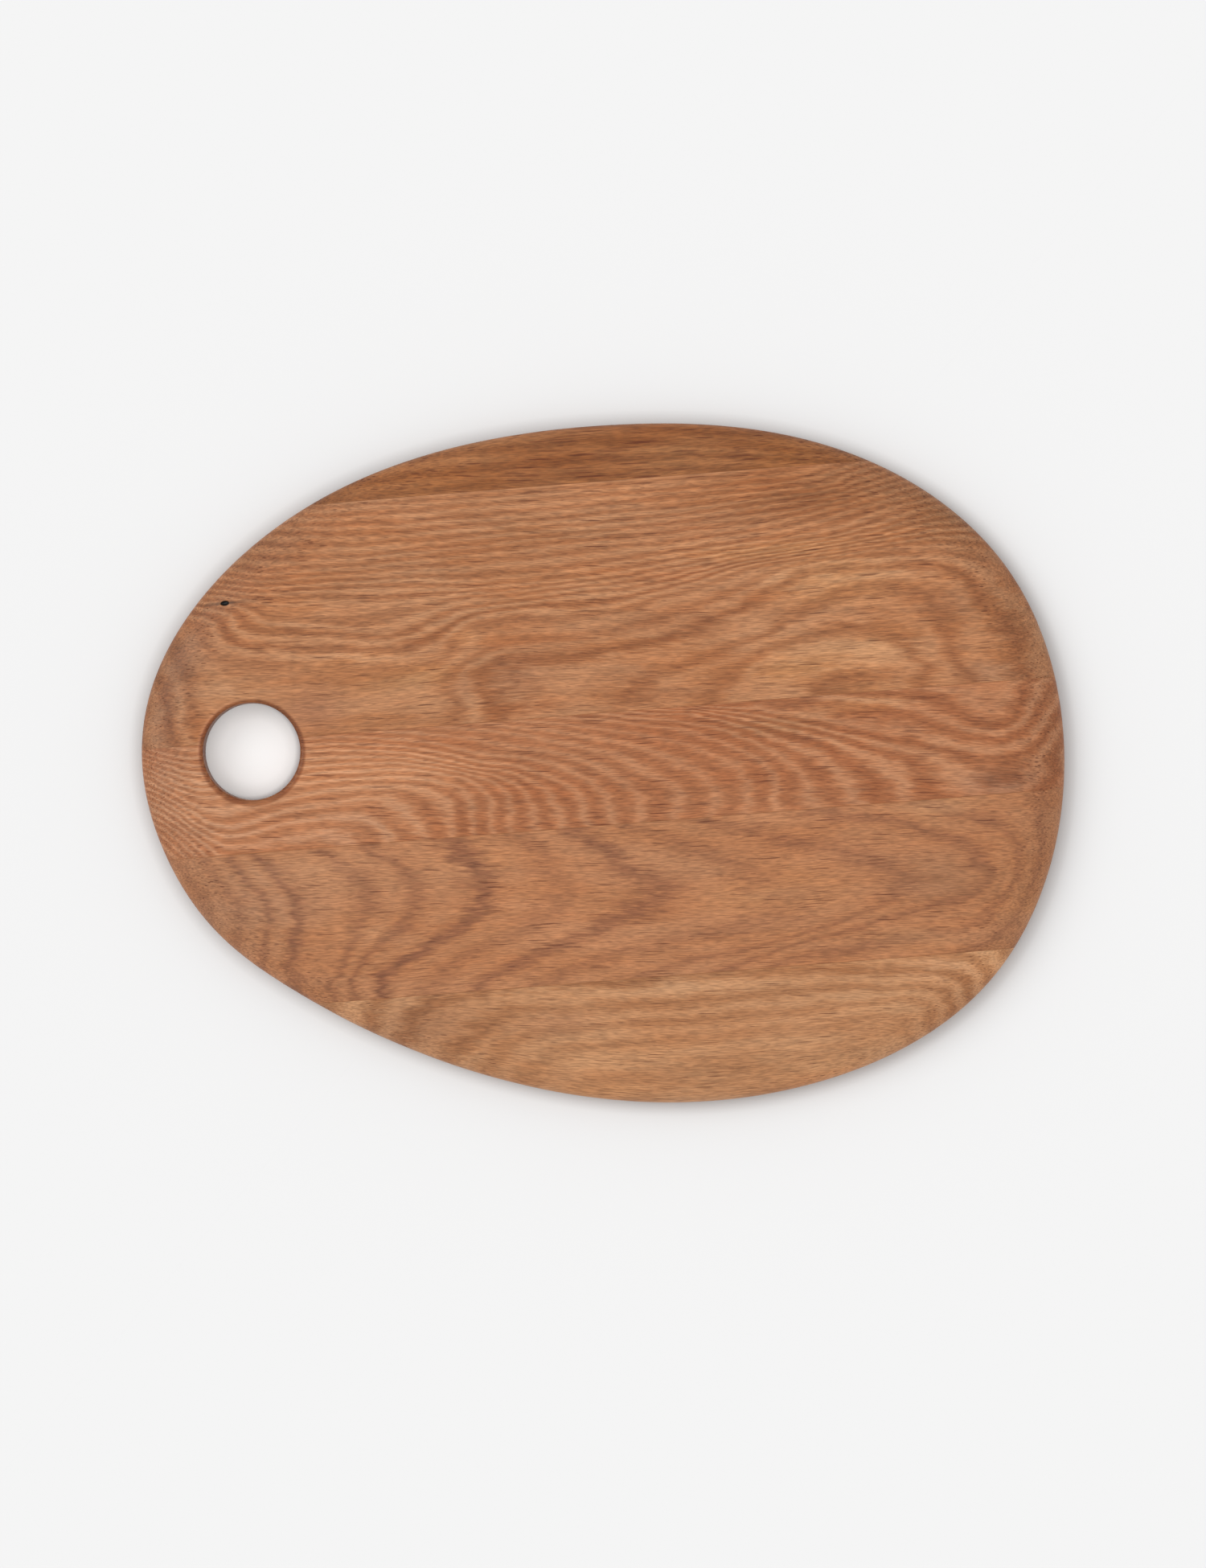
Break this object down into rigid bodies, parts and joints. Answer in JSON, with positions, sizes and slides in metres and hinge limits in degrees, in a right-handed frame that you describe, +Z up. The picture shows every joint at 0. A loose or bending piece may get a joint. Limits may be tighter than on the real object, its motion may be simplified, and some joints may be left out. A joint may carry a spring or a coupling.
{
  "type": "mixing palette",
  "caption": "Flat oiled-oak mixing palette with a pebble outline, rounded edge and thumb hole, edge-glued from staves of different tone.",
  "frame": {"origin": "centre of the outline's bounding box, on the flat underside", "axes": "+X along the grain towards the wide end, +Y towards the dark far edge, +Z up out of the top face"},
  "size_m": [0.4001, 0.2964, 0.018],
  "materials": {
    "oak_dark": "oiled satin",
    "oak_tan": "oiled satin",
    "oak_red": "oiled satin",
    "oak_figured": "oiled satin",
    "oak_light": "oiled satin",
    "cured_glue": "thin dark amber film"
  },
  "bodies": {
    "root": {"stave_1_dark_far_edge": "oak_dark", "glue_line_1": "cured_glue", "stave_2_wide_knot": "oak_tan", "glue_line_2": "cured_glue", "stave_3_red": "oak_red", "glue_line_3": "cured_glue", "stave_4_figured": "oak_figured", "glue_line_4": "cured_glue", "stave_5_light_near_edge": "oak_light"}
  },
  "joints": []
}
